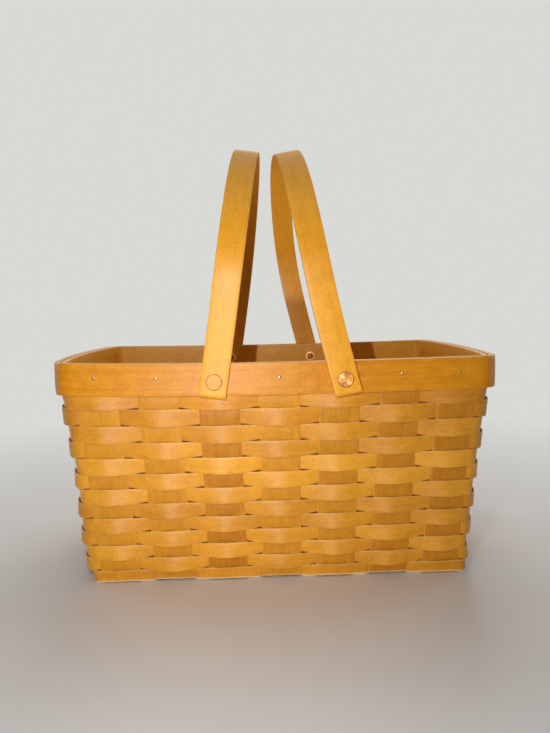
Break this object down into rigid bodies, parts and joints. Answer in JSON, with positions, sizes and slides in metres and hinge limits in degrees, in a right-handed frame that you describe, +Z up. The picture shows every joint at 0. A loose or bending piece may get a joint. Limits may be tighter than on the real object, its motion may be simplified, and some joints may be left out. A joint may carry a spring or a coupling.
{
  "type": "market basket",
  "caption": "Flared rectangular woven splint basket with nailed rim bands and two bentwood swing handles on copper rivets.",
  "frame": {"origin": "centre of the basket's footprint, on the surface it stands on", "axes": "+X along the basket's length to the right as seen from the front, +Y from the front to the back, along the handles' pivot axes, +Z up"},
  "size_m": [0.3818, 0.2682, 0.3796],
  "materials": {
    "upright_splint": "honey stain, satin, grain along the strip",
    "weaver_splint": "honey stain, satin, grain along the strip",
    "rim_band": "honey stain, satin, grain along the band",
    "handle_wood": "honey stain, satin, grain along the strip",
    "copper": "copper, faces brushed in circles",
    "tack_metal": "dulled brass"
  },
  "bodies": {
    "basket": {"cross_upright_1": "upright_splint", "cross_upright_2": "upright_splint", "cross_upright_3": "upright_splint", "cross_upright_4": "upright_splint", "cross_upright_5": "upright_splint", "cross_upright_6": "upright_splint", "cross_upright_7": "upright_splint", "long_upright_1": "upright_splint", "long_upright_2": "upright_splint", "long_upright_3": "upright_splint", "long_upright_4": "upright_splint", "weaver_01": "weaver_splint", "weaver_02": "weaver_splint", "weaver_03": "weaver_splint", "weaver_04": "weaver_splint", "weaver_05": "weaver_splint", "weaver_06": "weaver_splint", "weaver_07": "weaver_splint", "weaver_08": "weaver_splint", "weaver_09": "weaver_splint", "weaver_10": "weaver_splint", "weaver_11": "weaver_splint", "weaver_12": "weaver_splint", "weaver_13": "weaver_splint", "outer_rim_band": "rim_band", "inner_rim_band": "rim_band", "rivet_front_left": "copper", "rivet_front_right": "copper", "rivet_back_left": "copper", "rivet_back_right": "copper", "burr_front_left": "copper", "burr_front_right": "copper", "burr_back_left": "copper", "burr_back_right": "copper", "tack_front_1": "tack_metal", "tack_front_2": "tack_metal", "tack_front_3": "tack_metal", "tack_front_4": "tack_metal", "tack_front_5": "tack_metal", "tack_right_1": "tack_metal", "tack_right_2": "tack_metal", "tack_right_3": "tack_metal", "tack_right_4": "tack_metal", "tack_back_1": "tack_metal", "tack_back_2": "tack_metal", "tack_back_3": "tack_metal", "tack_back_4": "tack_metal", "tack_back_5": "tack_metal", "tack_left_1": "tack_metal", "tack_left_2": "tack_metal", "tack_left_3": "tack_metal", "tack_left_4": "tack_metal"},
    "handle_left": {"handle_left": "handle_wood"},
    "handle_right": {"handle_right": "handle_wood"}
  },
  "joints": [
    {"name": "handle_left_swing", "type": "hinge", "parent": "basket", "child": "handle_left", "pos_m": [-0.0487, 0, 0.175], "axis": [0.0269, 0.9996, 0], "range_deg": [-83, 1.2]},
    {"name": "handle_right_swing", "type": "hinge", "parent": "basket", "child": "handle_right", "pos_m": [0.0487, 0, 0.175], "axis": [-0.0269, 0.9996, 0], "range_deg": [-1.2, 87.4]}
  ]
}
